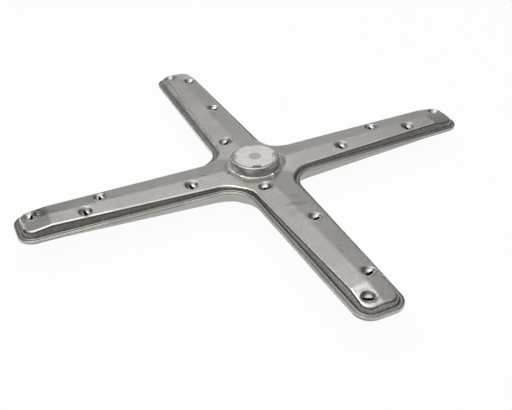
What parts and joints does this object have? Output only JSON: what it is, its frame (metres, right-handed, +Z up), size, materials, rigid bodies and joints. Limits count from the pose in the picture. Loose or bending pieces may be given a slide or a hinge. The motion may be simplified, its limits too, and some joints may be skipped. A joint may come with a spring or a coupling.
{
  "type": "dishwasher spray arm",
  "caption": "Four-armed pressed steel spray arm with dished slot nozzles, a hemmed rim and a capped hub that turns on a hollow feed spindle.",
  "frame": {"origin": "on the turning axis at the lower face of the spindle's foot", "axes": "+Z up along the turning axis, the arms along X and Y"},
  "size_m": [0.5, 0.5, 0.0436],
  "materials": {
    "pressed_steel": "satin pressed stainless sheet",
    "turned_steel": "turned stainless, welded",
    "spring_steel": "plain spring steel",
    "cap_plastic": "pale moulded plastic",
    "bush_plastic": "low-friction bearing plastic",
    "seal_rubber": "black seal rubber"
  },
  "bodies": {
    "fixed_spindle": {"spindle": "turned_steel", "thrust_washer": "bush_plastic", "retaining_washer": "turned_steel", "retaining_ring": "spring_steel"},
    "turning_arm": {"upper_shell": "pressed_steel", "lower_shell": "pressed_steel", "boss_ring": "turned_steel", "hub_collar": "turned_steel", "hub_cap": "cap_plastic", "cap_seal": "seal_rubber", "upper_bush": "bush_plastic", "lower_bush": "bush_plastic"}
  },
  "joints": [
    {"name": "arm_spin", "type": "hinge", "parent": "fixed_spindle", "child": "turning_arm", "pos_m": [0, 0, 0.02], "axis": [0, 0, 1], "continuous": true}
  ]
}
